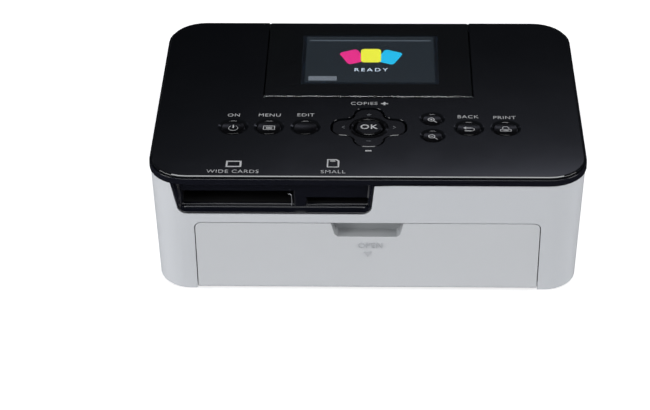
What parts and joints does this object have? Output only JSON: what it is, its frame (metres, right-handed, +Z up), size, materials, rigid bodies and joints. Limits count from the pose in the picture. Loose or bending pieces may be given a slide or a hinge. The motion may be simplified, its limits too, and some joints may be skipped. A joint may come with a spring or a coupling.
{
  "type": "compact photo printer",
  "caption": "Compact dye-sublimation photo printer: white case, gloss black key panel, tilting screen, drop-down paper door, side ink door and card slots.",
  "frame": {"origin": "on the table under the centre of the case", "axes": "+X to the viewer's right, +Y to the rear, +Z up"},
  "size_m": [0.178, 0.127, 0.0605],
  "materials": {
    "white_case": "satin moulded ABS, fine texture",
    "white_door": "satin moulded ABS, fine texture",
    "base_plastic": "dark grey moulded base",
    "foot_rubber": "soft rubber",
    "screw_steel": "zinc plated steel",
    "black_rim": "gloss black moulded rim",
    "gloss_black": "piano black panel",
    "screen_black": "bluish black housing",
    "screen_glass": "smoked clear window",
    "lcd": "lit colour display",
    "pin_steel": "ground steel",
    "key_black": "satin black key caps",
    "pad_rubber": "silicone ring",
    "silicone": "translucent grey silicone",
    "circuit_board": "green solder mask",
    "lever_plastic": "grey acetal",
    "socket_black": "black nylon",
    "socket_steel": "tin plated steel",
    "chassis_steel": "zinc plated sheet steel",
    "bush_bronze": "sintered bronze",
    "roller_rubber": "soft black rubber",
    "pinch_plastic": "dark acetal",
    "gear_acetal": "natural acetal",
    "pinion_brass": "turned brass",
    "motor_can": "plated steel can",
    "head_ceramic": "glazed ceramic bar",
    "sink_aluminium": "extruded aluminium",
    "cassette_plastic": "smoked moulded housing",
    "film": "dye film",
    "fan_black": "black fan frame"
  },
  "bodies": {
    "case": {"body_shell": "white_case", "base_tray": "base_plastic", "rubber_feet": "foot_rubber", "base_screws": "screw_steel", "top_case": "black_rim", "top_panel": "gloss_black", "key_mat": "silicone", "key_board": "circuit_board", "power_socket": "socket_black", "data_socket": "socket_steel", "main_board": "circuit_board", "wide_card_socket": "socket_steel", "small_card_socket": "socket_steel", "chassis_left": "chassis_steel", "chassis_right": "chassis_steel", "paper_guide": "lever_plastic", "shaft_bushes": "bush_bronze", "idler_studs": "pin_steel", "feed_motor": "motor_can", "head_pins": "pin_steel", "ink_cassette": "cassette_plastic", "ink_ribbon": "film", "fan_housing": "fan_black"},
    "screen": {"screen_frame": "screen_black", "screen_window": "screen_glass", "lcd_module": "lcd", "screen_hinge_pins": "pin_steel"},
    "paper_door": {"paper_door": "white_door"},
    "ink_door": {"ink_door": "white_door"},
    "eject_lever": {"eject_lever": "lever_plastic"},
    "pickup": {"pickup_shaft": "pin_steel", "pickup_roller": "roller_rubber", "pickup_gear": "gear_acetal"},
    "platen": {"platen_shaft": "pin_steel", "platen_roller": "roller_rubber"},
    "grip": {"grip_roller": "pin_steel", "grip_gear": "gear_acetal"},
    "pinch": {"pinch_roller": "pinch_plastic"},
    "front_idler": {"front_idler": "gear_acetal"},
    "rear_idler": {"rear_idler": "gear_acetal"},
    "motor_shaft": {"motor_pinion": "pinion_brass"},
    "head": {"thermal_head": "head_ceramic", "heat_sink": "sink_aluminium", "head_arm": "chassis_steel"},
    "supply": {"supply_spool": "film"},
    "takeup": {"takeup_spool": "film", "ribbon_gear": "gear_acetal"},
    "fan": {"fan_rotor": "fan_black"},
    "nav_ring": {"nav_ring": "pad_rubber"},
    "nav_pad": {"nav_pad": "key_black"},
    "power_key": {"power_key": "key_black"},
    "menu_key": {"menu_key": "key_black"},
    "edit_key": {"edit_key": "key_black"},
    "zoom_in_key": {"zoom_in_key": "key_black"},
    "zoom_out_key": {"zoom_out_key": "key_black"},
    "back_key": {"back_key": "key_black"},
    "print_key": {"print_key": "key_black"},
    "ok_key": {"ok_key": "key_black"}
  },
  "joints": [
    {"name": "screen_tilt", "type": "hinge", "parent": "case", "child": "screen", "pos_m": [0, 0.0001, 0.0587], "axis": [1, 0, 0], "range_deg": [0, 45]},
    {"name": "paper_door_hinge", "type": "hinge", "parent": "case", "child": "paper_door", "pos_m": [0, -0.05815, 0.00471], "axis": [1, 0, 0], "range_deg": [0, 90]},
    {"name": "ink_door_hinge", "type": "hinge", "parent": "case", "child": "ink_door", "pos_m": [0.08615, 0.0484, 0.02734], "axis": [0.0257, 0, 0.9997], "range_deg": [0, 95]},
    {"name": "eject_lever_turn", "type": "hinge", "parent": "case", "child": "eject_lever", "pos_m": [0.068, 0.02, 0.032], "axis": [1, 0, 0], "range_deg": [0, 55]},
    {"name": "grip_spin", "type": "hinge", "parent": "case", "child": "grip", "pos_m": [0, 0.033, 0.025], "axis": [1, 0, 0], "continuous": true},
    {"name": "pickup_spin", "type": "hinge", "parent": "case", "child": "pickup", "pos_m": [0, -0.022, 0.031], "axis": [1, 0, 0], "continuous": true},
    {"name": "platen_spin", "type": "hinge", "parent": "case", "child": "platen", "pos_m": [0, 0.02, 0.023], "axis": [1, 0, 0], "continuous": true},
    {"name": "pinch_spin", "type": "hinge", "parent": "case", "child": "pinch", "pos_m": [0, 0.033, 0.0316], "axis": [1, 0, 0], "continuous": true},
    {"name": "rear_idler_spin", "type": "hinge", "parent": "case", "child": "rear_idler", "pos_m": [-0.065, 0.01637, 0.0346], "axis": [1, 0, 0], "continuous": true},
    {"name": "front_idler_spin", "type": "hinge", "parent": "case", "child": "front_idler", "pos_m": [-0.065, -0.00414, 0.03805], "axis": [1, 0, 0], "continuous": true},
    {"name": "motor_spin", "type": "hinge", "parent": "case", "child": "motor_shaft", "pos_m": [-0.065, -0.0353, 0.03383], "axis": [1, 0, 0], "continuous": true},
    {"name": "takeup_spin", "type": "hinge", "parent": "case", "child": "takeup", "pos_m": [0, 0.03899, 0.0424], "axis": [1, 0, 0], "continuous": true},
    {"name": "supply_spin", "type": "hinge", "parent": "case", "child": "supply", "pos_m": [0, 0.00101, 0.0424], "axis": [1, 0, 0], "continuous": true},
    {"name": "fan_spin", "type": "hinge", "parent": "case", "child": "fan", "pos_m": [-0.0807, 0.018, 0.0167], "axis": [1, 0, 0], "continuous": true},
    {"name": "head_lift", "type": "hinge", "parent": "case", "child": "head", "pos_m": [0, -0.006, 0.0295], "axis": [1, 0, 0], "range_deg": [0, 3.5]},
    {"name": "nav_up_down", "type": "hinge", "parent": "case", "child": "nav_ring", "pos_m": [0.0004, -0.0254, 0.0574], "axis": [1, 0, 0], "range_deg": [-2.3, 2.3], "stiffness_Nm_per_rad": 0.03},
    {"name": "nav_left_right", "type": "hinge", "parent": "nav_ring", "child": "nav_pad", "pos_m": [0.0004, -0.0254, 0.0574], "axis": [0, 1, 0], "range_deg": [-2.3, 2.3], "stiffness_Nm_per_rad": 0.03},
    {"name": "power_key_press", "type": "slide", "parent": "case", "child": "power_key", "axis": [0, 0, -1], "range_m": [0, 0.0006], "stiffness_N_per_m": 200, "springref_m": -0.0002},
    {"name": "menu_key_press", "type": "slide", "parent": "case", "child": "menu_key", "axis": [0, 0, -1], "range_m": [0, 0.0006], "stiffness_N_per_m": 200, "springref_m": -0.0002},
    {"name": "edit_key_press", "type": "slide", "parent": "case", "child": "edit_key", "axis": [0, 0, -1], "range_m": [0, 0.0006], "stiffness_N_per_m": 200, "springref_m": -0.0002},
    {"name": "zoom_in_key_press", "type": "slide", "parent": "case", "child": "zoom_in_key", "axis": [0, 0, -1], "range_m": [0, 0.0006], "stiffness_N_per_m": 200, "springref_m": -0.0002},
    {"name": "zoom_out_key_press", "type": "slide", "parent": "case", "child": "zoom_out_key", "axis": [0, 0, -1], "range_m": [0, 0.0006], "stiffness_N_per_m": 200, "springref_m": -0.0002},
    {"name": "back_key_press", "type": "slide", "parent": "case", "child": "back_key", "axis": [0, 0, -1], "range_m": [0, 0.0006], "stiffness_N_per_m": 200, "springref_m": -0.0002},
    {"name": "print_key_press", "type": "slide", "parent": "case", "child": "print_key", "axis": [0, 0, -1], "range_m": [0, 0.0006], "stiffness_N_per_m": 200, "springref_m": -0.0002},
    {"name": "ok_key_press", "type": "slide", "parent": "case", "child": "ok_key", "axis": [0, 0, -1], "range_m": [0, 0.0006], "stiffness_N_per_m": 200, "springref_m": -0.0002}
  ],
  "couplings": [
    {"joint": "rear_idler_spin", "follows": "grip_spin", "ratio": -0.84615},
    {"joint": "front_idler_spin", "follows": "grip_spin", "ratio": 0.84615},
    {"joint": "pickup_spin", "follows": "grip_spin", "ratio": -1},
    {"joint": "motor_spin", "follows": "grip_spin", "ratio": 1.8333},
    {"joint": "takeup_spin", "follows": "grip_spin", "ratio": -0.91667},
    {"joint": "pinch_spin", "follows": "grip_spin", "ratio": -1.6},
    {"joint": "platen_spin", "follows": "grip_spin", "ratio": 0.66667},
    {"joint": "supply_spin", "follows": "grip_spin", "ratio": -0.51226}
  ]
}
